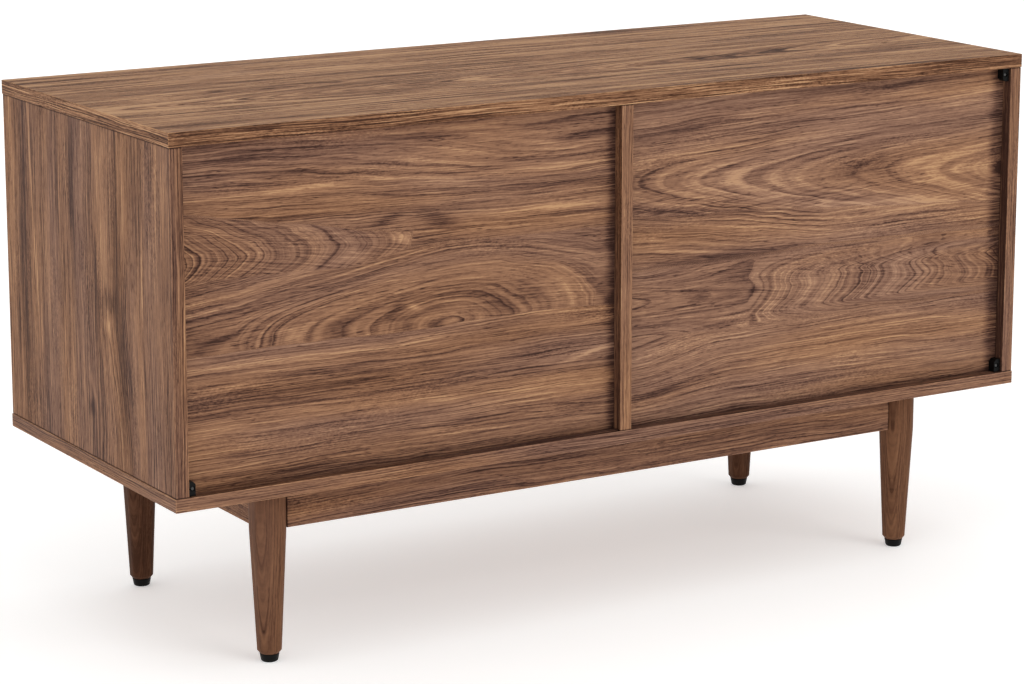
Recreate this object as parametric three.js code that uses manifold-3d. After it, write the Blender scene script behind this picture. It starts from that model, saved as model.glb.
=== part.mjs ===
// Sideboard with two hinged doors, a centre partition and a finished, recessed back, on a base frame with
// four tapered legs. Millimetres, +Z up. The origin is on the floor under the middle of the case: the doors
// face -Y, the finished back faces +Y, and left and right are as seen from the front, so right is +X.

import * as THREE from 'three';
import { mergeVertices } from 'three/addons/utils/BufferGeometryUtils.js';
import Module from 'manifold-3d';

const wasm = await Module();
wasm.setup();

// Case
const WIDTH = 1200;
const DEPTH = 465;
const HEIGHT = 643;
const LEG_HEIGHT = 212; // floor to the underside of the case
const TOP_THICKNESS = 17;
const BOARD = 16; // every other case board, shelf and door
const END_INSET = 1; // the side panels stand in from the ends of the top
const RECESS = 15.5; // the back panels and the doors stand in from the edges of the case
const REST_GAP = 0.3; // between pieces that are glued or that rest on each other
const DRILL_START = 1; // how far outside the face a cutting shape begins

// Back panels and their clips
const BACK_THICKNESS = 5;
const GROOVE_DEPTH = 6;
const CLIP = { width: 9.5, depth: 11, height: 17, chamfer: 3.5 };
const CLIP_POCKET = 5;
const CLIP_POCKET_DEPTH = 2.2;
const CLIP_EDGE_TO_SCREW = 3.7;
const CLIP_SCREW = { shank: 1.5, head: 2.3, headHeight: 1.6 };
const CLIP_SIDE_HOLE = { radius: 0.9, depth: 4, fromSide: 1.9 };
const SPIGOT = { radius: 4, length: 8 };

// Doors
const DOOR_SIDE_GAP = 2.5;
const DOOR_END_GAP = 2;
const PIVOT_FROM_EDGE = 12;
const PIVOT_BEHIND_FACE = 7;
const PIN = { radius: 3, inPanel: 9, inDoor: 12 };
const PIN_CHAMFER = 0.6;
const BUSH = { bore: 3.1, radius: 4.8, flangeRadius: 6.5, flange: 1.5, depth: 12.6 };
const KNOB_FROM_EDGE = 34;
const KNOB_SCREW = { shank: 2, head: 4, headHeight: 2.4, length: 24.6 };

// Door catches
const CATCH = { width: 32, flangeWidth: 46, flange: 3, height: 14, depth: 14 };
const CATCH_FROM_EDGE = 34;
const STRIKE = { width: 34, height: 12, thickness: 1.2, holeRadius: 1.6, holeSpacing: 24 };
const CATCH_AIR = 0.5;

// Shelves
const SHELF_END_GAP = 2;
const SHELF_FRONT_SPACE = 11;
const SHELF_BACK_SPACE = 7;
const SHELF_PIN_SPREAD = 290; // front pin to back pin
const SHELF_PIN_STEP = 64;
const SHELF_PIN = { radius: 2.5, inBoard: 6.5, collar: 4, collarLength: 1.5, reach: 9 };

// Base frame
const LEG_X = 457;
const LEG_Y = 175;
const LEG_HALF = 20;
const LEG_CORNER = 15;
const LEG_FOOT_RADIUS = 14.5;
const LEG_FOOT_CHAMFER = 2.9;
const RAIL_HEIGHT = 52;
const RAIL_THICKNESS = 18;
const RAIL_SETBACK = 10; // rail face to the outer face of the leg
const GLIDE = { height: 10, foot: 8.6, lower: 10.1, upper: 11.7, stem: 3, stemLength: 12 };
const BLOCK = { leg: 46, height: 40 };

// Levels and faces that the rest is worked out from
const floorLevel = LEG_HEIGHT + BOARD;
const ceilingLevel = HEIGHT - TOP_THICKNESS;
const middleLevel = (floorLevel + ceilingLevel) / 2;
const sideInner = WIDTH / 2 - END_INSET - BOARD;
const rearEdge = DEPTH / 2;
const backFace = rearEdge - RECESS;
const backFront = backFace - BACK_THICKNESS;
const doorFace = -rearEdge + RECESS;
const doorRear = doorFace + BOARD;
const pivotX = sideInner - DOOR_SIDE_GAP - PIVOT_FROM_EDGE;
const pivotY = doorFace + PIVOT_BEHIND_FACE;
const doorFreeEdge = BOARD / 2 + DOOR_SIDE_GAP;
const railLow = LEG_HEIGHT - RAIL_HEIGHT;
const shelfPinLevels = [-1, 0, 1].map((step) => middleLevel - BOARD / 2 - SHELF_PIN.radius
  + step * SHELF_PIN_STEP);

const SIDES = [['left', -1], ['right', 1]];
const ENDS = [['front', -1], ['rear', 1]];
const LEVELS = [['lower', -1], ['upper', 1]];

// Materials
const finish = (color, roughness, metalness = 0) => new THREE.MeshStandardMaterial({
  color, roughness, metalness,
});
const caseWalnut = finish('#8a6650', 0.5);
const doorWalnut = finish('#8f6a53', 0.5);
const legWalnut = finish('#7d5b47', 0.55);
const blackPlastic = finish('#1b1b1d', 0.55);
const whiteNylon = finish('#dcdad2', 0.6);
const steel = finish('#b9bbbd', 0.35, 1);
const blackSteel = finish('#2a2928', 0.45, 1);

// Boolean cuts and joins

// The solid inside a closed geometry.
function solidOf(geometry) {
  const bare = geometry.clone();
  bare.deleteAttribute('normal');
  bare.deleteAttribute('uv');
  const merged = mergeVertices(bare, 1e-4);
  return new wasm.Manifold(new wasm.Mesh({
    numProp: 3,
    vertProperties: merged.getAttribute('position').array,
    triVerts: new Uint32Array(merged.getIndex().array),
  }));
}

// The flat-shaded geometry around a solid.
function geometryOf(solid) {
  const mesh = solid.getMesh();
  const indexed = new THREE.BufferGeometry();
  indexed.setAttribute('position', new THREE.BufferAttribute(mesh.vertProperties, 3));
  indexed.setIndex(new THREE.BufferAttribute(mesh.triVerts, 1));
  const flat = indexed.toNonIndexed();
  flat.computeVertexNormals();
  return flat;
}

// The geometry with the added shapes joined on and the cutting shapes taken away.
function carved(geometry, cuts, additions = []) {
  let solid = solidOf(geometry);
  for (const addition of additions) solid = solid.add(solidOf(addition));
  for (const cut of cuts) solid = solid.subtract(solidOf(cut));
  return geometryOf(solid);
}

// Shapes

// A box between two corners.
function box(low, high) {
  const size = high.map((value, axis) => value - low[axis]);
  const middle = high.map((value, axis) => (value + low[axis]) / 2);
  return new THREE.BoxGeometry(...size).translate(...middle);
}

// A round bar or hole along an axis ('x', 'y' or 'z'), centred on a point.
function rod(axis, radius, length, centre, segments = 12) {
  const cylinder = new THREE.CylinderGeometry(radius, radius, length, segments);
  if (axis === 'x') cylinder.rotateZ(Math.PI / 2);
  if (axis === 'z') cylinder.rotateX(Math.PI / 2);
  return cylinder.translate(...centre);
}

// A round hole from a point on a face, which runs to its depth along one axis in direction -1 or 1.
function drill(axis, radius, depth, mouth, direction, segments = 12) {
  const centre = [...mouth];
  centre['xyz'.indexOf(axis)] += direction * (depth - DRILL_START) / 2;
  return rod(axis, radius, depth + DRILL_START, centre, segments);
}

// A solid turned about the Z axis from [radius, height] points that run up its outside.
function turned(points, segments) {
  const profile = points.map(([radius, height]) => new THREE.Vector2(radius, height));
  return new THREE.LatheGeometry(profile, segments).rotateX(Math.PI / 2);
}

// A flat outline given as [x, y] points, pulled up along Z.
function prism(points, height) {
  const outline = new THREE.Shape(points.map(([x, y]) => new THREE.Vector2(x, y)));
  return new THREE.ExtrudeGeometry(outline, { depth: height, bevelEnabled: false });
}

// The assembly
const sideboard = new THREE.Group();

function add(name, geometry, material, position = [0, 0, 0], rotation = [0, 0, 0]) {
  const mesh = new THREE.Mesh(geometry, material);
  mesh.name = name;
  mesh.position.set(...position);
  mesh.rotation.set(...rotation);
  sideboard.add(mesh);
}

// A flat board between two corners, with holes and grooves cut where the case has them.
function addBoard(name, low, high, material, cuts = []) {
  const middle = high.map((value, axis) => (value + low[axis]) / 2);
  const size = high.map((value, axis) => value - low[axis]);
  const moved = cuts.map((cut) => cut.translate(...middle.map((value) => -value)));
  const blank = new THREE.BoxGeometry(...size);
  add(name, moved.length ? carved(blank, moved) : blank, material, middle);
}

// The grooves that hold both back panels, as one slot for each panel, a little larger than the panel.
function backSlots() {
  return SIDES.map(([, side]) => {
    const [inner, outer] = [BOARD / 2 - GROOVE_DEPTH, sideInner + GROOVE_DEPTH].map((x) => x * side);
    return box(
      [Math.min(inner, outer), backFront - REST_GAP, floorLevel - GROOVE_DEPTH],
      [Math.max(inner, outer), backFace + REST_GAP, ceilingLevel + GROOVE_DEPTH],
    );
  });
}

// The holes for shelf pins in one face of an upright board, drilled along X in direction -1 or 1.
function shelfPinHoles(face, direction) {
  const { radius, inBoard } = SHELF_PIN;
  return shelfPinLevels.flatMap((level) => ENDS.map(([, end]) => drill(
    'x', radius + REST_GAP, inBoard + REST_GAP, [face, end * SHELF_PIN_SPREAD / 2, level], direction,
  )));
}

// The pivot holes in the top panel (direction 1) or the bottom panel (direction -1).
function pivotHoles(face, direction) {
  return SIDES.map(([, side]) => drill(
    'z', PIN.radius + REST_GAP, PIN.inPanel, [side * pivotX, pivotY, face], direction, 16,
  ));
}

const clipHeight = (level) => (level < 0
  ? floorLevel + REST_GAP + CLIP.height / 2
  : ceilingLevel - REST_GAP - CLIP.height / 2);
const clipMiddleY = backFace + REST_GAP + CLIP.depth / 2;

// The back is held in three of its four outer corners. The upper corner on the right has no clip.
const clippedLevels = (side) => LEVELS.filter(([, level]) => side < 0 || level < 0);

// The holes in a side panel for the spigots of its clips.
function spigotHoles(side) {
  return clippedLevels(side).map(([, level]) => drill(
    'x', SPIGOT.radius + REST_GAP, SPIGOT.length + REST_GAP,
    [side * sideInner, clipMiddleY, clipHeight(level)], side, 16,
  ));
}

function addCase() {
  addBoard('top_panel',
    [-WIDTH / 2, -rearEdge, ceilingLevel], [WIDTH / 2, rearEdge, HEIGHT], caseWalnut,
    [...backSlots(), ...pivotHoles(ceilingLevel, 1)]);
  addBoard('bottom_panel',
    [-WIDTH / 2, -rearEdge, LEG_HEIGHT], [WIDTH / 2, rearEdge, floorLevel], caseWalnut,
    [...backSlots(), ...pivotHoles(floorLevel, -1)]);
  const low = floorLevel + REST_GAP;
  const high = ceilingLevel - REST_GAP;
  const edge = rearEdge - REST_GAP;
  for (const [name, side] of SIDES) {
    const faces = [side * sideInner, side * (sideInner + BOARD)].sort((a, b) => a - b);
    addBoard(`${name}_side_panel`, [faces[0], -edge, low], [faces[1], edge, high], caseWalnut,
      [...backSlots(), ...shelfPinHoles(side * sideInner, side), ...spigotHoles(side)]);
  }
  addBoard('centre_partition', [-BOARD / 2, -edge, low], [BOARD / 2, edge, high], caseWalnut,
    [...backSlots(), ...shelfPinHoles(-BOARD / 2, 1), ...shelfPinHoles(BOARD / 2, -1)]);
}

function addBackPanels() {
  const tongue = GROOVE_DEPTH - REST_GAP;
  for (const [name, side] of SIDES) {
    const xs = [side * (BOARD / 2 - tongue), side * (sideInner + tongue)].sort((a, b) => a - b);
    addBoard(`${name}_back_panel`,
      [xs[0], backFront, floorLevel - tongue], [xs[1], backFace, ceilingLevel + tongue], caseWalnut);
  }
}

// A plastic block with a spigot in the side panel. Its screw bears on the back panel and holds it in its
// groove. The corner of the block that points into the bay is chamfered.
function addClips() {
  const { width, depth, height, chamfer } = CLIP;
  const inner = sideInner - REST_GAP - width;
  for (const [sideName, side] of SIDES) {
    for (const [levelName, level] of clippedLevels(side)) {
      const outline = [
        [0, 0], [width, 0], [width, height], [chamfer, height], [0, height - chamfer],
      ].map(([x, z]) => [side * (inner + x), clipHeight(level) - level * (z - height / 2)]);
      // The prism is pulled up along Z, then laid over so that it runs along +Y.
      const block = prism(outline.map(([x, z]) => [x, -z]), depth).rotateX(-Math.PI / 2)
        .translate(0, backFace + REST_GAP, 0);
      const rearFace = backFace + REST_GAP + depth;
      const screwX = side * (inner + CLIP_EDGE_TO_SCREW);
      const z = clipHeight(level);
      const pocket = box(
        [screwX - CLIP_POCKET / 2, rearFace - CLIP_POCKET_DEPTH, z - CLIP_POCKET / 2],
        [screwX + CLIP_POCKET / 2, rearFace + 1, z + CLIP_POCKET / 2],
      );
      const screwHole = rod('y', CLIP_SCREW.shank + REST_GAP, depth + 2, [screwX, clipMiddleY, z]);
      const sideHole = drill('y', CLIP_SIDE_HOLE.radius, CLIP_SIDE_HOLE.depth,
        [side * (inner + width - CLIP_SIDE_HOLE.fromSide), rearFace, z], -1);
      const spigot = rod('x', SPIGOT.radius, SPIGOT.length + 1,
        [side * (sideInner - REST_GAP + (SPIGOT.length - 1) / 2), clipMiddleY, z], 16);
      const name = `${levelName}_${sideName}`;
      add(`back_clip_${name}`, carved(block, [pocket, screwHole, sideHole], [spigot]), blackPlastic);

      const { shank, head, headHeight } = CLIP_SCREW;
      const reach = depth - CLIP_POCKET_DEPTH;
      const screw = turned([[0, -reach], [shank, -reach], [shank, 0.1], [head, 0.1],
        [head, headHeight * 0.6], [head * 0.7, headHeight], [0, headHeight]], 14);
      add(`back_clip_screw_${name}`, screw, blackSteel,
        [screwX, rearFace - CLIP_POCKET_DEPTH, z], [-Math.PI / 2, 0, 0]);
    }
  }
}

// Each door turns on two steel pins that stand in the top and bottom panels and run in nylon bushes.
function addDoors() {
  const low = floorLevel + DOOR_END_GAP;
  const high = ceilingLevel - DOOR_END_GAP;
  const knobX = doorFreeEdge + KNOB_FROM_EDGE;
  for (const [name, side] of SIDES) {
    const xs = [side * doorFreeEdge, side * (sideInner - DOOR_SIDE_GAP)].sort((a, b) => a - b);
    const cuts = [rod('y', KNOB_SCREW.shank + REST_GAP, 2 * BOARD, [side * knobX, doorFace, middleLevel])];
    for (const [edge, direction] of [[low, 1], [high, -1]]) {
      cuts.push(drill('z', BUSH.radius + REST_GAP, BUSH.depth + REST_GAP,
        [side * pivotX, pivotY, edge], direction, 20));
    }
    addBoard(`${name}_door`, [xs[0], doorFace, low], [xs[1], doorRear, high], doorWalnut, cuts);

    const knob = turned([[0, 9], [2.3, 9], [2.3, 0], [8.5, 0], [8.5, 0.8], [6, 3.2], [6.4, 5.4],
      [10.4, 7.6], [11.9, 9.6], [11.5, 11.6], [8.6, 13.2], [4.6, 13.9], [0, 14]], 24);
    add(`${name}_knob`, knob, legWalnut, [side * knobX, doorFace - 0.1, middleLevel],
      [Math.PI / 2, 0, 0]);
    const { shank, head, headHeight, length } = KNOB_SCREW;
    const screw = turned([[0, -headHeight], [head * 0.65, -headHeight * 0.92], [head, -headHeight * 0.45],
      [head, 0], [shank, 0], [shank, length], [0, length]], 16);
    add(`${name}_knob_screw`, screw, steel, [side * knobX, doorRear + 0.1, middleLevel],
      [Math.PI / 2, 0, 0]);
  }
}

function addHinges() {
  const pinLength = PIN.inPanel - REST_GAP + DOOR_END_GAP + PIN.inDoor;
  const r = PIN.radius;
  const c = PIN_CHAMFER;
  const pin = turned([[0, 0], [r - c, 0], [r, c], [r, pinLength - c], [r - c, pinLength],
    [0, pinLength]], 16);
  const { bore, radius, flangeRadius, flange, depth } = BUSH;
  const bush = turned([[bore, -depth], [radius, -depth], [radius, 0.05], [flangeRadius, 0.05],
    [flangeRadius, flange], [bore, flange], [bore, -depth]], 20);
  for (const [sideName, side] of SIDES) {
    for (const [levelName, level] of LEVELS) {
      const face = level < 0 ? floorLevel : ceilingLevel;
      const edge = face - level * DOOR_END_GAP;
      const turn = level < 0 ? [Math.PI, 0, 0] : [0, 0, 0];
      add(`hinge_pin_${levelName}_${sideName}`, pin, steel,
        [side * pivotX, pivotY, edge - level * PIN.inDoor], turn);
      add(`hinge_bush_${levelName}_${sideName}`, bush, whiteNylon, [side * pivotX, pivotY, edge], turn);
    }
  }
}

// A magnetic catch under the top panel and the steel plate that it holds, at the free edge of each door.
function addCatches() {
  const { width, flangeWidth, flange, height, depth } = CATCH;
  const top = ceilingLevel - REST_GAP;
  const outline = [
    [-flangeWidth / 2, 0], [-flangeWidth / 2, -flange], [-width / 2, -flange], [-width / 2, -height],
    [width / 2, -height], [width / 2, -flange], [flangeWidth / 2, -flange], [flangeWidth / 2, 0],
  ];
  const front = doorRear + 0.1 + STRIKE.thickness + CATCH_AIR;
  const holes = [-1, 1].map((end) => rod('z', STRIKE.holeRadius, STRIKE.thickness * 3,
    [end * STRIKE.holeSpacing / 2, 0, 0]));
  const plate = carved(
    box([-STRIKE.width / 2, -STRIKE.height / 2, 0], [STRIKE.width / 2, STRIKE.height / 2, STRIKE.thickness]),
    holes,
  );
  for (const [name, side] of SIDES) {
    const x = side * (doorFreeEdge + CATCH_FROM_EDGE);
    add(`${name}_catch`, prism(outline.map(([px, z]) => [px, -z]), depth), blackPlastic,
      [x, front, top], [-Math.PI / 2, 0, 0]);
    add(`${name}_strike_plate`, plate, steel,
      [x, doorRear + 0.1, ceilingLevel - DOOR_END_GAP - 1 - STRIKE.height / 2], [-Math.PI / 2, 0, 0]);
  }
}

function addShelves() {
  const front = doorRear + SHELF_FRONT_SPACE;
  const rear = backFront - SHELF_BACK_SPACE;
  const { radius, inBoard, collar, collarLength, reach } = SHELF_PIN;
  const pin = turned([[0, -inBoard], [radius - 0.4, -inBoard], [radius, -inBoard + 0.6], [radius, 0.1],
    [collar, 0.1], [collar, collarLength], [radius, collarLength], [radius, reach], [0, reach]], 12);
  for (const [name, side] of SIDES) {
    const ends = [BOARD / 2 + SHELF_END_GAP, sideInner - SHELF_END_GAP];
    const xs = ends.map((x) => side * x).sort((a, b) => a - b);
    for (const [endName, end] of ENDS) {
      for (const [place, face, outward] of [
        ['inner', side * BOARD / 2, side], ['outer', side * sideInner, -side],
      ]) {
        add(`shelf_pin_${name}_${endName}_${place}`, pin, steel,
          [face, end * SHELF_PIN_SPREAD / 2, shelfPinLevels[1]], [0, outward * Math.PI / 2, 0]);
      }
    }
    const low = shelfPinLevels[1] + radius + 0.1;
    addBoard(`${name}_shelf`, [xs[0], front, low], [xs[1], rear, low + BOARD], caseWalnut);
  }
}

// A leg is a square post with rounded corners beside the rails. Below them it tapers and turns round.
function legGeometry() {
  const half = LEG_HALF;
  const corner = LEG_CORNER;
  const section = new THREE.Shape();
  const flat = half - corner;
  section.absarc(flat, flat, corner, 0, Math.PI / 2);
  section.absarc(-flat, flat, corner, Math.PI / 2, Math.PI);
  section.absarc(-flat, -flat, corner, Math.PI, Math.PI * 1.5);
  section.absarc(flat, -flat, corner, Math.PI * 1.5, Math.PI * 2);
  const woodLow = GLIDE.height + REST_GAP;
  // Rings from the foot up: [height, radius where round, share of the square section]
  const rings = [
    [woodLow, LEG_FOOT_RADIUS - LEG_FOOT_CHAMFER, 0],
    [woodLow + LEG_FOOT_CHAMFER + 0.6, LEG_FOOT_RADIUS, 0],
    [railLow - 1, half, 1],
    [LEG_HEIGHT - REST_GAP, half, 1],
  ];
  const geometry = new THREE.ExtrudeGeometry(section, {
    depth: rings.length - 1, steps: rings.length - 1, bevelEnabled: false, curveSegments: 6,
  });
  const points = geometry.getAttribute('position');
  const point = new THREE.Vector2();
  for (let i = 0; i < points.count; i += 1) {
    const [height, radius, squareness] = rings[Math.round(points.getZ(i))];
    point.set(points.getX(i), points.getY(i));
    const round = point.clone().setLength(radius);
    point.lerpVectors(round, point, squareness);
    points.setXYZ(i, point.x, point.y, height);
  }
  const bore = drill('z', GLIDE.stem + REST_GAP, GLIDE.stemLength + REST_GAP, [0, 0, woodLow], 1);
  return carved(geometry, [bore]);
}

function addBase() {
  const { height, foot, lower, upper, stem, stemLength } = GLIDE;
  const leg = legGeometry();
  const glide = turned([[0, 0], [foot, 0], [lower, 1.3], [upper, height - 0.8], [upper - 0.3, height],
    [stem, height], [stem, height + stemLength], [0, height + stemLength]], 24);
  const railTop = LEG_HEIGHT - REST_GAP;
  const face = LEG_HALF - RAIL_SETBACK; // from the legs' axes to the rails' outer faces
  const railX = LEG_X - LEG_HALF - REST_GAP;
  const railY = LEG_Y - LEG_HALF - REST_GAP;
  const innerX = LEG_X + face - RAIL_THICKNESS - REST_GAP;
  const innerY = LEG_Y + face - RAIL_THICKNESS - REST_GAP;

  for (const [endName, end] of ENDS) {
    const ys = [end * (LEG_Y + face), end * (LEG_Y + face - RAIL_THICKNESS)].sort((a, b) => a - b);
    addBoard(`${endName}_rail`, [-railX, ys[0], railLow], [railX, ys[1], railTop], legWalnut);
    for (const [sideName, side] of SIDES) {
      const name = `${endName}_${sideName}`;
      add(`leg_${name}`, leg, legWalnut, [side * LEG_X, end * LEG_Y, 0]);
      add(`glide_${name}`, glide, blackPlastic, [side * LEG_X, end * LEG_Y, 0]);
      // The corner block lies against both rails and is notched round the leg.
      const outline = [
        [railX, innerY], [railX, railY], [innerX, railY], [innerX, innerY - BLOCK.leg - REST_GAP],
        [innerX - BLOCK.leg - REST_GAP, innerY],
      ].map(([x, y]) => [side * x, end * y]);
      add(`corner_block_${name}`, prism(outline, BLOCK.height), legWalnut,
        [0, 0, railTop - BLOCK.height]);
    }
  }
  for (const [sideName, side] of SIDES) {
    const xs = [side * (LEG_X + face), side * (LEG_X + face - RAIL_THICKNESS)].sort((a, b) => a - b);
    addBoard(`${sideName}_rail`, [xs[0], -railY, railLow], [xs[1], railY, railTop], legWalnut);
  }
}

addCase();
addBackPanels();
addClips();
addDoors();
addHinges();
addCatches();
addShelves();
addBase();

export default sideboard;
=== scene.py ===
import math
from dataclasses import dataclass

import bpy
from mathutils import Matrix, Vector


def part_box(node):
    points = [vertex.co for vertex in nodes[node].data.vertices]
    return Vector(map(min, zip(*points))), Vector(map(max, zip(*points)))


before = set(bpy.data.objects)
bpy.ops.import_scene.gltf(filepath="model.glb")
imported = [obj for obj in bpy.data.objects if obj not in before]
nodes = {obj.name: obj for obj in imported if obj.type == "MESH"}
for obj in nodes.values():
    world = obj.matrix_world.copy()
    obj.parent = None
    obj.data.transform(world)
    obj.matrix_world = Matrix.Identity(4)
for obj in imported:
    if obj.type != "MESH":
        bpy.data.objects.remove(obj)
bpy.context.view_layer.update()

MM_PER_METRE = 1000
SEED_STEP = 3.7  # from one noise pattern of a material to the next
NOISE_GAIN = 3.2  # stretches Blender's noise, which stays near 0.5, to about -1 to 1


# ---------------------------------------------------------------- surfaces as formulas


class Number:
    """A number that varies over a surface. Arithmetic on it adds Math nodes to its material."""

    def __init__(self, tree, socket):
        self.tree = tree
        self.socket = socket

    def __add__(self, other):
        return calculate("ADD", self, other)

    def __radd__(self, other):
        return calculate("ADD", other, self)

    def __sub__(self, other):
        return calculate("SUBTRACT", self, other)

    def __rsub__(self, other):
        return calculate("SUBTRACT", other, self)

    def __mul__(self, other):
        return calculate("MULTIPLY", self, other)

    def __rmul__(self, other):
        return calculate("MULTIPLY", other, self)

    def __truediv__(self, other):
        return calculate("DIVIDE", self, other)

    def __neg__(self):
        return calculate("MULTIPLY", self, -1.0)

    def __abs__(self):
        return calculate("ABSOLUTE", self)


def plug(tree, value, socket):
    if isinstance(value, Number):
        tree.links.new(value.socket, socket)
    else:
        socket.default_value = value


def calculate(operation, *values):
    tree = next(v.tree for v in values if isinstance(v, Number))
    node = tree.nodes.new("ShaderNodeMath")
    node.operation = operation
    for value, socket in zip(values, node.inputs):
        plug(tree, value, socket)
    return Number(tree, node.outputs[0])


def ease(x, start, end):
    """0 before start, 1 after end, with a smooth rise between them."""
    node = x.tree.nodes.new("ShaderNodeMapRange")
    node.interpolation_type = "SMOOTHSTEP"
    plug(x.tree, x, node.inputs["Value"])
    node.inputs["From Min"].default_value = start
    node.inputs["From Max"].default_value = end
    return Number(x.tree, node.outputs["Result"])


def bell(x, centre, width):
    """1 at the centre, falling to a third at the given distance from it."""
    away = (x - centre) / width
    return calculate("EXPONENT", -(away * away))


def hypotenuse(a, b):
    return calculate("SQRT", a * a + b * b)


def lower_of(a, b):
    return calculate("MINIMUM", a, b)


def higher_of(a, b):
    return calculate("MAXIMUM", a, b)


def blend(share, first, second):
    """first where share is 0, second where it is 1."""
    return first + share * (second - first)


class Surface:
    """One node material: where a point is, in mm, which way it faces, noise, and the final shader."""

    def __init__(self, name):
        self.material = bpy.data.materials.new(name)
        self.material.use_nodes = True
        self.tree = self.material.node_tree
        self.shader = self.tree.nodes["Principled BSDF"]
        self.seed = 0.0
        coordinates = self.tree.nodes.new("ShaderNodeTexCoord")
        self.place = [p * MM_PER_METRE for p in self.split(coordinates.outputs["Object"])]
        self.facing = self.split(coordinates.outputs["Normal"])

    def split(self, socket):
        node = self.tree.nodes.new("ShaderNodeSeparateXYZ")
        self.tree.links.new(socket, node.inputs[0])
        return [Number(self.tree, output) for output in node.outputs]

    def noise(self, at, cells, detail=2.0, roughness=0.5):
        """Noise of about -1 to 1, over cells of these sizes along each of the coordinates in at."""
        self.seed += SEED_STEP
        joined = self.tree.nodes.new("ShaderNodeCombineXYZ")
        for index, (coordinate, cell) in enumerate(zip(at, cells)):
            shift = self.seed * (index + 1)
            plug(self.tree, coordinate / cell + shift, joined.inputs[index])
        node = self.tree.nodes.new("ShaderNodeTexNoise")
        node.inputs["Scale"].default_value = 1.0
        node.inputs["Detail"].default_value = detail
        node.inputs["Roughness"].default_value = roughness
        self.tree.links.new(joined.outputs[0], node.inputs["Vector"])
        return (Number(self.tree, node.outputs["Fac"]) - 0.5) * NOISE_GAIN

    def colours(self, along, stops):
        """A colour for each value from 0 to 1. Each stop is a place and an sRGB colour of 0 to 255."""
        node = self.tree.nodes.new("ShaderNodeValToRGB")
        ramp = node.color_ramp
        while len(ramp.elements) < len(stops):
            ramp.elements.new(0.5)
        for element, (position, colour) in zip(ramp.elements, stops):
            element.position = position
            element.color = (*linear(colour), 1)
        plug(self.tree, along, node.inputs["Fac"])
        return node.outputs["Color"]

    def tint(self, share, colour, towards):
        """The colour, moved towards another by the share."""
        node = self.tree.nodes.new("ShaderNodeMix")
        node.data_type = "RGBA"
        plug(self.tree, share, node.inputs["Factor"])
        self.tree.links.new(colour, node.inputs["A"])
        self.tree.links.new(towards, node.inputs["B"])
        return node.outputs["Result"]

    def finish(self, colour, roughness, height=None, relief_mm=0.1, **fixed):
        """Connects the shader. height is the relief of the surface from 0 to 1, over relief_mm."""
        self.tree.links.new(colour, self.shader.inputs["Base Color"])
        plug(self.tree, roughness, self.shader.inputs["Roughness"])
        for socket, value in fixed.items():
            self.shader.inputs[socket.replace("_", " ")].default_value = value
        if height is not None:
            bump = self.tree.nodes.new("ShaderNodeBump")
            bump.inputs["Distance"].default_value = relief_mm / MM_PER_METRE
            bump.inputs["Strength"].default_value = 1.0
            plug(self.tree, height, bump.inputs["Height"])
            self.tree.links.new(bump.outputs["Normal"], self.shader.inputs["Normal"])
        return self.material


def linear(colour):
    """An sRGB colour of 0 to 255 as the linear colour that Blender's sockets hold."""
    return [((c / 255 + 0.055) / 1.055) ** 2.4 if c > 10 else c / 255 / 12.92 for c in colour]


# ---------------------------------------------------------------- walnut
# Every board's grain is a level map, in mm: its contours are the growth rings. u runs along the grain
# and v across it. A plain board's level is v itself, and a figured one bends the contours.

WALNUT_PURPLE = [
    (0.0, (62, 42, 36)),
    (0.22, (92, 65, 55)),
    (0.5, (129, 95, 78)),
    (0.78, (152, 116, 95)),
    (1.0, (176, 138, 112)),
]
WALNUT_ORANGE = [
    (0.0, (68, 43, 30)),
    (0.22, (101, 68, 49)),
    (0.5, (138, 98, 71)),
    (0.78, (163, 120, 88)),
    (1.0, (190, 147, 108)),
]

EDGE_WEAR_AND_HIGHLIGHT = 0.32  # the arrises are lighter: worn, and a painted highlight
HIGHLIT_WEAR_WIDTH = 1.6  # mm
JOINT_DARKENING = 0.9  # where one board meets another
JOINT_WIDTH = 0.9  # mm
RECESS_PAINTED_SHADE = 0.42  # painted shade in the corners of the recessed back
RECESS_FLOOR = 215.0  # how far behind the middle of the case the recess starts, in mm
FOOT_SHADE = 0.34  # painted shade along the foot of the back panels
FOOT_SHADE_LEVELS = (227.0, 240.0)  # mm above the floor
FACE_NORMAL = 0.7  # a surface faces along an axis when its normal has more than this of it
MIDDLE_SHADE = 0.53  # of a board of tone 0
SOLID_SWAY = 0.25  # the grain of solid pieces wanders this much as far as the grain of the boards


def plain_figure(surface, u, v):
    return v, 0.0


def streak(u, v, at, reach, width, rise=0.0):
    """A soft stripe centred on at, this long and wide to each side, that rises as it runs along u."""
    run = u - at[0]
    return bell(run, 0.0, reach) * bell(v - run * rise, at[1], width)


def foot_shade(v):
    """The foot of a back panel, darker with painted shade."""
    return (1 - ease(v, *FOOT_SHADE_LEVELS)) * FOOT_SHADE


def arrow(run, across, stretch, rounding):
    """A level map of nested arrowheads that point to lower run, with tips rounded over this many mm."""
    return run * stretch + hypotenuse(across, rounding) - rounding


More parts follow.
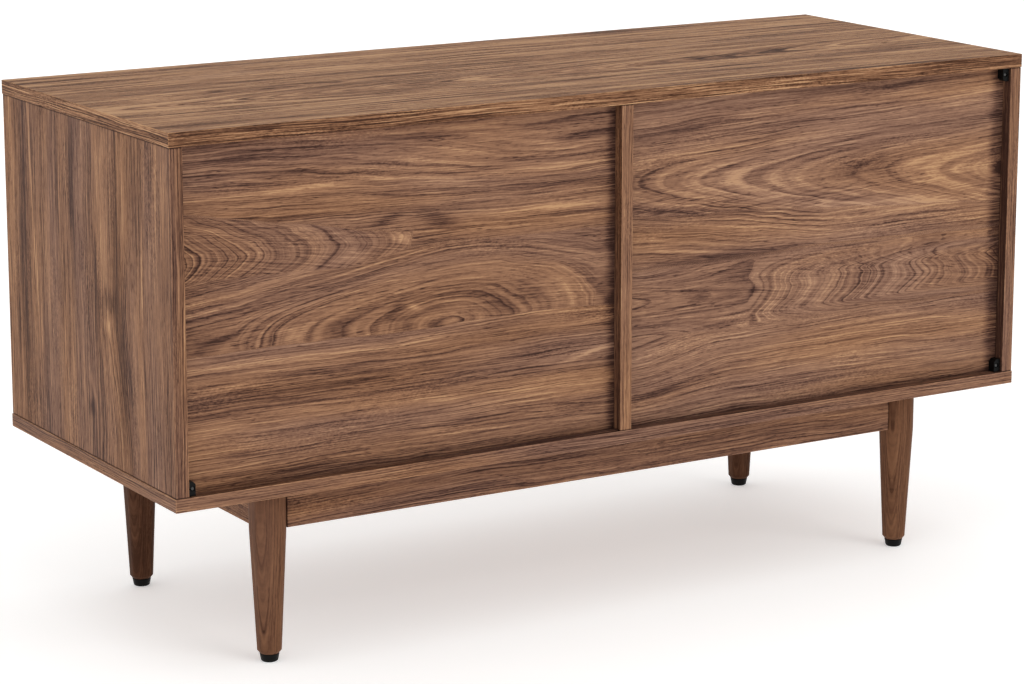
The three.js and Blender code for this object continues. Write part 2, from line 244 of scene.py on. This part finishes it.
def left_back_figure(surface, u, v):
    """A long arch that opens to the right at the top, and a row of chevrons pointing right below it."""
    arch_axis = 530 - u * 0.06
    arch = arrow(-u, v - arch_axis, 0.085, 45) * 1.25
    slope = v + lower_of(u, 300.0) * 0.11
    fading = (1 - ease(v, 386.0, 424.0)) * ease(v, 322.0, 352.0)
    chevron_axis = 379 - ease(u, 380.0, 600.0) * 20
    push = higher_of(u - 190, 0.0) * 0.3 + u * 0.07
    chevrons = hypotenuse(v - chevron_axis, 9.0) * (0.5 + (1 - ease(push, 2.0, 14.0)) * 0.4) + push * fading
    low = v + (1 - ease(u, 0.0, 170.0)) * bell(v, 300.0, 55.0) * 30
    level = blend(ease(v + u * 0.06, 487.0, 488.0), slope, arch)
    level = blend(ease(v, 419.0, 425.0), chevrons, level)
    level = blend(ease(v, 334.0, 335.0), low, level)
    tone = streak(u, v, (135, 520), 40, 18) * 0.2
    tone = tone + streak(u, v, (235, 508), 60, 16) * 0.22
    tone = tone - streak(u, v, (90, 486), 140, 7, -0.09) * 0.32
    tone = tone - streak(u, v, (150, 425), 110, 5) * 0.45
    tone = tone - streak(u, v, (350, 516), 60, 17, 0.08) * 0.26
    tone = tone + streak(u, v, (440, 514), 26, 5, 0.2) * 0.2
    tone = tone + streak(u, v, (520, 500), 24, 6) * 0.3
    tone = tone + streak(u, v, (420, 466), 140, 5, -0.05) * 0.34
    tone = tone + streak(u, v, (305, 478), 9, 5) * 0.35
    tone = tone + streak(u, v, (250, 452), 140, 3, -0.12) * 0.3
    tone = tone + streak(u, v, (560, 590), 120, 22) * 0.16
    tone = tone - streak(u, v, (420, 616), 150, 5) * 0.35
    tone = tone - streak(u, v, (90, 590), 80, 7, 0.08) * 0.25
    tone = tone + streak(u, v, (290, 378), 30, 14) * 0.2
    tone = tone - streak(u, v, (200, 379), 10, 3) * 0.4
    tone = tone + streak(u, v, (70, 318), 80, 14, 0.1) * 0.16
    tone = tone - streak(u, v, (60, 266), 90, 6, 0.14) * 0.3
    tone = tone - streak(u, v, (330, 262), 220, 12) * 0.12
    # Painted shade in the recess corner at the panel's end, and painted shade along its foot.
    corner = ease(u, 558.0, 575.0)
    return level, tone - corner * RECESS_PAINTED_SHADE - foot_shade(v)


def right_back_figure(surface, u, v):
    """Chevrons pointing right at the upper left, and a long eye with a straight lower edge."""
    along = abs(u + 235)
    left_half = 1 - ease(u, -260.0, -210.0)
    reach = lower_of(along * (0.31 - left_half * 0.075), 54.0 + along * 0.04)
    reach = reach + (1 - bell(along, 0.0, 45.0)) * 8
    above = v - 388 - ease(v, 395.0, 450.0) * (u + 235) * 0.05
    eye = hypotenuse(above, reach)
    rings = eye * 0.55 + higher_of(eye - 60, 0.0) * 0.6
    sag = ease(u, -600.0, -60.0) * bell(v, 566.0, 40.0) * 40
    lines = v + sag
    chevrons = arrow(u + 600, v - 492, 0.32, 28) * 1.3
    chevron_top = 547 - (u + 580) * 0.17
    inside = (1 - ease(v - chevron_top, -1.0, 1.0)) * (1 - ease(u, -292.0, -288.0))
    level = blend(inside, lines, chevrons)
    level = blend(ease(v - ease(u, -370.0, -270.0) * 14, 467.0, 468.0), rings, level)
    level = blend(ease(v, 384.0, 385.0), v, level)
    tone = bell(eye, 50.0, 3.0) * bell(v, 430.0, 30.0) * 0.16
    tone = tone - bell(eye, 31.0, 3.0) * bell(v, 410.0, 22.0) * 0.2
    tone = tone + streak(u, v, (-430, 565), 130, 4) * 0.4
    tone = tone + streak(u, v, (-235, 586), 60, 12, -0.12) * 0.28
    tone = tone + streak(u, v, (-240, 553), 60, 5, -0.15) * 0.32
    tone = tone + streak(u, v, (-90, 559), 90, 3) * 0.4
    tone = tone + streak(u, v, (-90, 511), 90, 4) * 0.42
    tone = tone - streak(u, v, (-90, 537), 120, 4, -0.04) * 0.3
    tone = tone - streak(u, v, (-250, 508), 26, 9, -0.35) * 0.3
    tone = tone - streak(u, v, (-318, 515), 16, 5, 0.3) * 0.35
    tone = tone + streak(u, v, (-302, 492), 14, 5, -0.3) * 0.34
    tone = tone + streak(u, v, (-360, 479), 16, 6) * 0.3
    bowed = u + (v - 492) * abs(v - 492) * 0.05
    tone = tone + bell(bowed, -482.0, 9.0) * bell(v, 502.0, 20.0) * 0.24
    tone = tone + streak(u, v, (-450, 424), 80, 3, 0.12) * 0.24
    tone = tone + streak(u, v, (-445, 397), 14, 9) * 0.22
    tone = tone + streak(u, v, (-283, 411), 9, 4, -0.3) * 0.36
    tone = tone - streak(u, v, (-308, 408), 12, 10, 0.6) * 0.25
    tone = tone + streak(u, v, (-85, 410), 22, 22) * 0.14
    tone = tone - streak(u, v, (-480, 332), 150, 14) * 0.26
    tone = tone + streak(u, v, (-460, 370), 170, 4) * 0.3
    tone = tone + streak(u, v, (-42, 327), 40, 3, 0.2) * 0.5
    tone = tone + streak(u, v, (-130, 287), 130, 12) * 0.2
    tone = tone - streak(u, v, (-430, 238), 90, 6, -0.05) * 0.35
    tone = tone + streak(u, v, (-550, 292), 60, 10) * 0.18
    tone = tone + streak(u, v, (-235, 392), 20, 7) * 0.3
    # Painted shade in the recess corner at the panel's end, and painted shade along its foot.
    corner = ease(u, -24.0, -8.0)
    return level, tone - corner * RECESS_PAINTED_SHADE - foot_shade(v)


def right_side_figure(surface, u, v):
    """Upright grain with a light flame that pinches at mid height."""
    below = higher_of(412 - u, 0.0)
    lean = lower_of(below, 150.0) * 0.16 * bell(v - below * 0.1, 66.0, 42.0)
    pinch = bell(u, 412.0, 34.0) * bell(v, 62.0, 30.0)
    level = v - lean * (1 - pinch) + bell(u, 412.0, 70.0) * bell(v, 92.0, 40.0) * 9
    tone = streak(u, v, (515, 47), 85, 13, -0.04) * 0.36
    tone = tone + streak(u, v, (600, 54), 30, 14, 0.2) * 0.2
    tone = tone + streak(u, v, (345, 64), 60, 9, -0.16) * 0.3
    tone = tone + streak(u, v, (396, 57), 10, 7) * 0.3
    tone = tone - streak(u, v, (424, 62), 13, 20) * 0.3
    tone = tone - streak(u, v, (340, 101), 100, 17, -0.08) * 0.36
    tone = tone - streak(u, v, (400, 27), 60, 10, 0.06) * 0.2
    tone = tone - streak(u, v, (500, 88), 90, 14) * 0.16
    tone = tone + streak(u, v, (330, 138), 110, 8) * 0.26
    tone = tone - streak(u, v, (440, -182), 260, 15) * 0.26
    tone = tone + streak(u, v, (440, -197), 260, 2) * 0.2
    tone = tone - streak(u, v, (530, -38), 100, 14) * 0.22
    tone = tone + streak(u, v, (470, -92), 200, 30) * 0.12
    tone = tone + streak(u, v, (470, -148), 160, 2, -0.07) * 0.34
    tone = tone + streak(u, v, (312, 14), 22, 5, -0.5) * 0.26
    tone = tone - streak(u, v, (285, 10), 9, 9) * 0.3
    tone = tone + streak(u, v, (470, 154), 60, 3) * 0.3
    tone = tone + streak(u, v, (570, 216), 40, 5) * 0.3
    return level, tone


def top_figure(surface, u, v):
    """A long arch that opens to the right, with straight grain on both sides of it."""
    arch = arrow(-u - 600, v + 60 - ease(u, 100.0, 620.0) * 22, 0.07, 30)
    band = -112 + ease(u, 60.0, 620.0) * 60
    inside = ease(v, -4.0, 14.0) + (1 - ease(v - band, -2.0, 2.0))
    level = blend(inside, arch, v)
    light_line = ease(surface.noise((u, level), (700, 13), 1.0), 0.1, 0.45)
    dark_line = ease(surface.noise((u, level), (500, 11), 1.0), 0.15, 0.6)
    tone = light_line * 0.42 - dark_line * 0.38 - streak(u, v, (-480, 186), 220, 5) * 0.34
    tone = tone - streak(u, v, (-60, 196), 90, 5, 0.06) * 0.3
    tone = tone + streak(u, v, (-250, 130), 260, 22) * 0.14
    tone = tone + bell(v - band, 3.0, 5.0) * ease(u, -120.0, 160.0) * 0.42
    tone = tone + streak(u, v, (-452, -60), 16, 12) * 0.24
    tone = tone + streak(u, v, (-370, -96), 60, 5, -0.2) * 0.34
    tone = tone + streak(u, v, (-110, -108), 190, 4) * 0.22
    tone = tone + streak(u, v, (-430, 28), 110, 6, 0.06) * 0.3
    tone = tone - streak(u, v, (-420, 12), 13, 7) * 0.5
    tone = tone - streak(u, v, (220, -40), 16, 8) * 0.42
    tone = tone - streak(u, v, (355, -35), 14, 8) * 0.34
    tone = tone - streak(u, v, (450, -10), 14, 8) * 0.4
    tone = tone - streak(u, v, (300, 42), 230, 16) * 0.2
    tone = tone - streak(u, v, (520, -98), 90, 16) * 0.2
    tone = tone + streak(u, v, (-60, -150), 34, 7) * 0.34
    tone = tone + streak(u, v, (520, -136), 110, 4) * 0.34
    tone = tone + streak(u, v, (-420, -152), 200, 5) * 0.24
    tone = tone - streak(u, v, (60, -124), 170, 4, 0.02) * 0.42
    return level, tone


def recess_edge_figure(surface, u, v):
    """Plain grain, with painted shade where the board stands out behind the back panels."""
    return v, -ease(v, RECESS_FLOOR, RECESS_FLOOR + 4) * RECESS_PAINTED_SHADE


def recess_sill_figure(surface, u, v):
    """The bottom board, darker and redder with painted shade on the strip behind the back panels."""
    upward = calculate("GREATER_THAN", surface.facing[2], FACE_NORMAL)
    return v, upward * ease(-v, RECESS_FLOOR, RECESS_FLOOR + 3) * -RECESS_PAINTED_SHADE


def left_side_figure(surface, u, v):
    """One broad arch, and the same painted shade on the inner face behind the back panel."""
    inward = calculate("GREATER_THAN", surface.facing[0], FACE_NORMAL)
    level = hypotenuse(v + 30, (u - 80) * 0.12)
    return level, inward * ease(v, RECESS_FLOOR, RECESS_FLOOR + 4) * -RECESS_PAINTED_SHADE


def arched_figure(centre, tightness):
    """A board with one arch round a centre that may lie beyond its end."""

    def figure(surface, u, v):
        return hypotenuse(v - centre[1], (u - centre[0]) * tightness), 0.0

    return figure


@dataclass
class Board:
    """How the walnut of one board or solid piece is made.

    along and across are each an axis number and a sign, for the way the grain runs and the way across it.
    tone is lighter above 0, warmth redder above 0, and contrast is the strength of the grain. A banded
    board has separate decor on its edges, of edge_tone. joints are the places along it, in mm, where it
    meets other boards. box is its lowest and highest corner, in mm, where its edges are lighter with wear
    and a painted highlight.
    """

    along: tuple
    across: tuple
    figure: object = plain_figure
    seed: float = 0.0
    tone: float = 0.0
    warmth: float = 0.0
    contrast: float = 1.0
    banded: bool = True
    edge_tone: float = -0.1
    joints: tuple = ()
    box: tuple = ()


def worn_and_highlit_edges(surface, box):
    """1 along the edges of a box, 0 from HIGHLIT_WEAR_WIDTH away from them."""
    # The edges are lighter with wear and a painted highlight.
    low, high = box
    near = []
    for place, start, end in zip(surface.place, low, high):
        depth = (end - start) / 2 - abs(place - (start + end) / 2)
        near.append(1 - ease(depth, 0.0, HIGHLIT_WEAR_WIDTH))
    return near[0] * near[1] + near[1] * near[2] + near[2] * near[0]


def growth_lines(surface, level, run, cross, side):
    """What follows the level: broad and finer bands, and thin serrated lines where a season ends."""
    wide = surface.noise((level, run, side), (30, 800, 1), 2.0, 0.6)
    fine = surface.noise((level, run, side), (6.5, 420, 1), 2.0, 0.6)
    finest = surface.noise((level, run, side), (1.7, 150, 1), 1.0)
    teeth = surface.noise((run, cross, side), (9, 1.3, 1), 1.0) * 0.3
    count = (level + teeth) / 5.2 + surface.noise((level, run, side), (25, 500, 1), 1.0) * 1.6
    season = calculate("FRACT", count)
    late = ease(season, 0.66, 0.93) * (1 - ease(season, 0.95, 1.0))
    early = ease(season, 0.0, 0.1) * (1 - ease(season, 0.1, 0.4))
    rings = late * ease(surface.noise((level, run, side), (17, 240, 1), 1.0), -0.45, 0.75)
    glints = early * ease(surface.noise((level, run, side), (13, 200, 1), 1.0), 0.0, 0.8)
    return wide, wide * 0.13 + fine * 0.13 + finest * 0.3 - rings * 0.42 + glints * 0.34


@dataclass
class Fibres:
    """The fine layers, which always run along a board: threads, hairs, dashes, pores and light flecks."""

    thread: Number
    hair: Number
    dash: Number
    pore: Number
    fleck: Number

    def shade(self):
        return self.thread * 0.24 + self.hair * 0.22 + self.dash * 0.14 - self.pore * 0.34 + self.fleck * 0.2


def fibres_of(surface, run, cross, grain, side):
    thread = surface.noise((run, grain, side), (80, 1.8, 1), 2.0, 0.65)
    hair = surface.noise((run, grain, side), (60, 1.2, 1), 1.0)
    dash = surface.noise((run, cross, side), (11, 1.5, 1), 2.0, 0.6)
    pore = ease(surface.noise((run, grain, side), (11, 0.9, 1), 0.0), 0.35, 0.8)
    pore = pore * ease(surface.noise((run, grain, side), (60, 9, 1), 1.0), -0.7, 0.6)
    figured_spot = ease(surface.noise((run, cross, side), (150, 34, 1), 1.0), 0.05, 0.7)
    fleck = surface.noise((run, cross, side), (3.6, 1.6, 1), 1.0) * (figured_spot * 0.8 + 0.25)
    return Fibres(thread, hair, dash, pore, fleck)


def walnut(name, board):
    """Walnut decor with its grain along one axis of the board."""
    surface = Surface(name)
    surface.seed = board.seed
    thickness = 3 - board.along[0] - board.across[0]
    u = surface.place[board.along[0]] * board.along[1]
    v = surface.place[board.across[0]] * board.across[1]
    w = surface.place[thickness]
    if board.banded:
        on_face = calculate("GREATER_THAN", abs(surface.facing[thickness]), FACE_NORMAL)
        on_end = calculate("GREATER_THAN", abs(surface.facing[board.along[0]]), FACE_NORMAL)
        run = blend(on_end, u, v)
        cross = blend(on_face, w * 1.3 + on_end * 31, v)
        side = on_end * 5 + on_face * 11
        face_tone = blend(on_face, board.edge_tone, board.tone)
        sway = 1.0
    else:
        on_face = 1.0
        run = u
        cross = v + w * 0.8
        side = 0.0
        face_tone = board.tone
        sway = SOLID_SWAY

    wave = surface.noise((run, cross, side), (260, 70, 1), 1.0) * (4.5 * sway)
    ripple = surface.noise((run, cross, side), (60, 15, 1), 1.0) * (1.2 * sway)
    bent = cross + wave + ripple
    if board.figure is plain_figure:
        level, grain, accent = bent, bent, 0.0
    else:
        figured, accent = board.figure(surface, u + ripple * 4, v + wave * 0.8 + ripple * 1.4)
        level = blend(on_face, bent, figured)
        grain = cross + (level - cross) * 0.25
        accent = accent * on_face

    wide, growth = growth_lines(surface, level, run, cross, side)
    fibres = fibres_of(surface, run, cross, grain, side)
    shade = MIDDLE_SHADE + face_tone + accent
    shade = shade + growth * board.contrast + fibres.shade() * (0.3 + board.contrast * 0.7)
    # Lighter arrises: wear, and a painted highlight along the edges of each board.
    if board.box:
        wear_and_highlight_mask = ease(fibres.fleck + fibres.dash, -1.2, 0.6)
        shade = shade + worn_and_highlit_edges(surface, board.box) * wear_and_highlight_mask * EDGE_WEAR_AND_HIGHLIGHT
    for joint in board.joints:
        shade = shade - bell(surface.place[board.along[0]], joint, JOINT_WIDTH) * JOINT_DARKENING
    hue_drift = surface.noise((run, level, side), (420, 60, 1), 1.0) + wide * 0.3
    hue = ease(hue_drift + (shade - MIDDLE_SHADE) * 0.8 + board.warmth, -0.9, 0.9)
    purple = surface.colours(shade, WALNUT_PURPLE)
    orange = surface.colours(shade, WALNUT_ORANGE)
    height = 0.6 + fibres.hair * 0.12 + fibres.thread * 0.1 - fibres.pore * 0.6
    roughness = 0.47 + fibres.pore * 0.15 + fibres.thread * 0.03 - shade * 0.06
    colour = surface.tint(hue, purple, orange)
    return surface.finish(colour, roughness, height, 0.06, Specular_IOR_Level=0.04)


# ---------------------------------------------------------------- plastics and metal


def moulded_plastic(name, dark, light, roughness, gloss):
    """Moulded plastic: an even, slightly pebbled skin with faint scuffs."""
    surface = Surface(name)
    pebble = surface.noise(surface.place, (0.35, 0.35, 0.35), 2.0)
    cloud = surface.noise(surface.place, (9, 9, 9), 2.0)
    scuff = ease(surface.noise(surface.place, (0.5, 5, 0.7), 1.0), 0.55, 1.1)
    colour = surface.colours(0.45 + cloud * 0.2 + scuff * 0.4, [(0.0, dark), (1.0, light)])
    height = 0.5 + pebble * 0.4 - scuff * 0.3
    roughness = roughness + cloud * 0.06 + scuff * 0.15
    return surface.finish(colour, roughness, height, 0.03, Specular_IOR_Level=gloss)


def plated_steel(name):
    """Zinc-plated steel with fine turning marks and dull patches."""
    surface = Surface(name)
    marks = surface.noise(surface.place, (6, 6, 0.18), 2.0)
    patch = surface.noise(surface.place, (3, 3, 3), 3.0, 0.6)
    stops = [(0.0, (118, 117, 114)), (1.0, (196, 195, 190))]
    colour = surface.colours(0.5 + patch * 0.3 + marks * 0.12, stops)
    roughness = 0.32 + patch * 0.08 + marks * 0.05
    return surface.finish(colour, roughness, 0.5 + marks * 0.4, 0.02, Metallic=1.0)


# ---------------------------------------------------------------- carried-over CAD nodes

X_AXIS, Y_AXIS, Z_AXIS = 0, 1, 2


def soften(node, radius, angle=30):
    """Rounds the edges of a CAD node with modifiers. Its own mesh stays as it is."""
    node.data.shade_smooth()
    weld = node.modifiers.new("weld", "WELD")
    weld.merge_threshold = 1e-5
    bevel = node.modifiers.new("round_edges", "BEVEL")
    bevel.width = radius / MM_PER_METRE
    bevel.segments = 2
    bevel.limit_method = "ANGLE"
    bevel.angle_limit = math.radians(angle)
    bevel.use_clamp_overlap = True
    normals = node.modifiers.new("flat_faces", "WEIGHTED_NORMAL")
    normals.keep_sharp = False
    normals.weight = 100


def dress(name, material, radius):
    node = nodes[name]
    node.data.materials.clear()
    node.data.materials.append(material)
    soften(node, radius)


def box_mm(name):
    return [[c * MM_PER_METRE for c in corner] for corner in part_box(name)]


def ends_of(name, axis):
    """Where a node starts and ends along an axis, in mm."""
    return [corner[axis] for corner in box_mm(name)]


def dress_board(name, radius, along, across, banded=True, **looks):
    box = box_mm(name) if banded else ()
    board = Board(along, across, banded=banded, box=box, **looks)
    dress(name, walnut(f"{name}_walnut", board), radius)


def dress_case():
    to_right, up, backward = (X_AXIS, 1), (Z_AXIS, 1), (Y_AXIS, 1)
    to_left, forward = (X_AXIS, -1), (Y_AXIS, -1)
    joints = ends_of("right_side_panel", Z_AXIS)
    # The top's higher tone makes it lighter than the other boards: partly its own tone, partly painted light
    # from above.
    top = {"figure": top_figure, "seed": 5.0, "tone": 0.16, "warmth": 0.9, "contrast": 1.9}
    dress_board("top_panel", 0.6, to_left, forward, edge_tone=-0.12, **top)
    bottom = {"figure": recess_sill_figure, "seed": 17.0, "tone": 0.06}
    dress_board("bottom_panel", 0.5, to_left, forward, edge_tone=-0.04, **bottom)
    right = {"figure": right_side_figure, "seed": 23.0, "tone": -0.08, "warmth": 0.15, "contrast": 1.1}
    dress_board("right_side_panel", 0.5, up, backward, edge_tone=-0.13, joints=joints, **right)
    dress_board("left_side_panel", 0.5, up, backward, figure=left_side_figure, seed=31.0, joints=joints)
    partition = {"figure": recess_edge_figure, "seed": 41.0, "tone": 0.1}
    dress_board("centre_partition", 0.5, up, backward, edge_tone=0.04, joints=joints, **partition)
    left_back = {"figure": left_back_figure, "seed": 47.0, "tone": 0.08, "warmth": -0.4}
    dress_board("left_back_panel", 0.3, to_left, up, **left_back)
    dress_board("right_back_panel", 0.3, to_left, up, figure=right_back_figure, seed=59.0)
    arches = {"left": arched_figure((-150, 450), 0.11), "right": arched_figure((760, 400), 0.11)}
    for index, (side, arch) in enumerate(arches.items()):
        dress_board(f"{side}_shelf", 0.5, to_right, backward, seed=61.0 + index * 5)
        dress_board(f"{side}_door", 0.5, to_right, up, figure=arch, seed=71.0 + index * 7)


def dress_base():
    rails = {"front_rail": X_AXIS, "rear_rail": X_AXIS, "left_rail": Y_AXIS, "right_rail": Y_AXIS}
    for index, (name, axis) in enumerate(rails.items()):
        joints = ends_of(name, axis)
        dress_board(name, 0.8, (axis, 1), (Z_AXIS, 1), seed=83.0 + index * 3, tone=-0.06, joints=joints)
    for end in ("front", "rear"):
        for side in ("left", "right"):
            seed = 101.0 + 11 * (end == "rear") + 5 * (side == "right")
            # The front legs' lower tone is painted shade under the case; the rear legs' tone is their own.
            tone = -0.44 if end == "front" else -0.24
            leg = {"seed": seed, "tone": tone, "warmth": 1.2, "contrast": 0.25, "banded": False}
            dress_board(f"leg_{end}_{side}", 0.6, (Z_AXIS, 1), (X_AXIS, 1), **leg)
            block = f"corner_block_{end}_{side}"
            dress_board(block, 0.8, (X_AXIS, 1), (Y_AXIS, 1), seed=seed + 2, tone=0.05)


def dress_knobs():
    for index, side in enumerate(("left", "right")):
        knob = {"seed": 131.0 + index * 9, "tone": -0.3, "contrast": 0.6, "banded": False}
        dress_board(f"{side}_knob", 0.3, (Y_AXIS, 1), (X_AXIS, 1), **knob)


def dress_hardware():
    black = moulded_plastic("black_plastic_skin", (4, 4, 4), (17, 16, 15), 0.45, 0.12)
    nylon = moulded_plastic("white_nylon_skin", (205, 203, 196), (236, 234, 228), 0.38, 0.4)
    steel = plated_steel("plated_steel_skin")
    screw = moulded_plastic("black_steel_skin", (12, 12, 12), (58, 57, 56), 0.3, 0.6)
    finishes = {
        "black_plastic": (black, 0.35),
        "white_nylon": (nylon, 0.25),
        "steel": (steel, 0.15),
        "black_steel": (screw, 0.15),
    }
    for name, node in nodes.items():
        slot = node.data.materials[0].name
        if slot in finishes:
            dress(name, *finishes[slot])


# ---------------------------------------------------------------- studio

CAMERA_PLACE = (2.1326, 3.4758, 1.2278)  # metres
CAMERA_HEADING = 148.704  # degrees, anticlockwise from +Y
CAMERA_TILT = 12.037  # degrees below the horizon
CAMERA_LENS = 116.45  # mm
CAMERA_SENSOR = 36  # mm wide
CAMERA_SHIFT = -0.05
FLOOR_HALF = 30.0  # metres
FLOOR_CLOUD = 900  # mm from one faintly lighter patch of the floor to the next
FLOOR_GLOW = 0.38  # the floor is lit a little from below
SKY_WALL = 0.07  # sine of the height up to which the studio's far wall is lit
SKY_WALL_STRENGTH = 1.1
SKY_LOW = 0.18
SKY_HIGH = 0.7  # sine of the height above which the sky is at its brightest
SKY_ZENITH = 0.95
SOFTBOXES = {  # where each far softbox is, its width in degrees, and its light on a surface square to it
    "key_light": ((-0.45, 1.0, 0.6), 34, 0.52),
    "side_light": ((1.0, 0.12, 0.35), 60, 0.26),
}


def add_camera():
    camera = bpy.data.cameras.new("camera")
    camera.lens = CAMERA_LENS
    camera.sensor_width = CAMERA_SENSOR
    camera.shift_y = CAMERA_SHIFT
    holder = bpy.data.objects.new("camera", camera)
    holder.location = CAMERA_PLACE
    holder.rotation_euler = (math.radians(90 - CAMERA_TILT), 0, math.radians(CAMERA_HEADING))
    bpy.context.scene.collection.objects.link(holder)
    bpy.context.scene.camera = holder


def add_softbox(name, direction, width, strength):
    light = bpy.data.lights.new(name, "SUN")
    light.energy = strength
    light.angle = math.radians(width)
    holder = bpy.data.objects.new(name, light)
    holder.rotation_euler = (-Vector(direction)).to_track_quat("-Z", "Y").to_euler()
    bpy.context.scene.collection.objects.link(holder)


def add_floor():
    mesh = bpy.data.meshes.new("floor")
    corners = [(x * FLOOR_HALF, y * FLOOR_HALF, 0.0) for x, y in ((-1, -1), (1, -1), (1, 1), (-1, 1))]
    mesh.from_pydata(corners, [], [(0, 1, 2, 3)])
    floor = bpy.data.objects.new("floor", mesh)
    bpy.context.scene.collection.objects.link(floor)
    surface = Surface("pale_floor")
    cloud = surface.noise(surface.place, [FLOOR_CLOUD] * 3, 2.0)
    colour = surface.colours(0.5 + cloud * 0.3, [(0.0, (243, 243, 242)), (1.0, (249, 249, 248))])
    roughness = 0.6 + cloud * 0.03
    skin = surface.finish(colour, roughness, Specular_IOR_Level=0.1, Emission_Strength=FLOOR_GLOW)
    mesh.materials.append(skin)


def add_studio():
    scene = bpy.context.scene
    scene.world = bpy.data.worlds.new("studio")
    scene.world.use_nodes = True
    tree = scene.world.node_tree
    direction = tree.nodes.new("ShaderNodeTexCoord")
    split = tree.nodes.new("ShaderNodeSeparateXYZ")
    tree.links.new(direction.outputs["Generated"], split.inputs[0])
    height = Number(tree, split.outputs["Z"])
    sky = tree.nodes["Background"]
    sky.inputs["Color"].default_value = (1, 1, 1, 1)
    wall = (1 - ease(height, SKY_WALL, SKY_WALL * 2)) * (SKY_WALL_STRENGTH - SKY_LOW)
    dome = ease(height, SKY_WALL * 2, SKY_HIGH) * (SKY_ZENITH - SKY_LOW)
    strength = wall + SKY_LOW + dome
    plug(tree, strength, sky.inputs["Strength"])
    scene.view_settings.view_transform = "Standard"
    for name, (direction, width, strength) in SOFTBOXES.items():
        add_softbox(name, direction, width, strength)
    add_floor()
    add_camera()


add_studio()
dress_case()
dress_base()
dress_knobs()
dress_hardware()
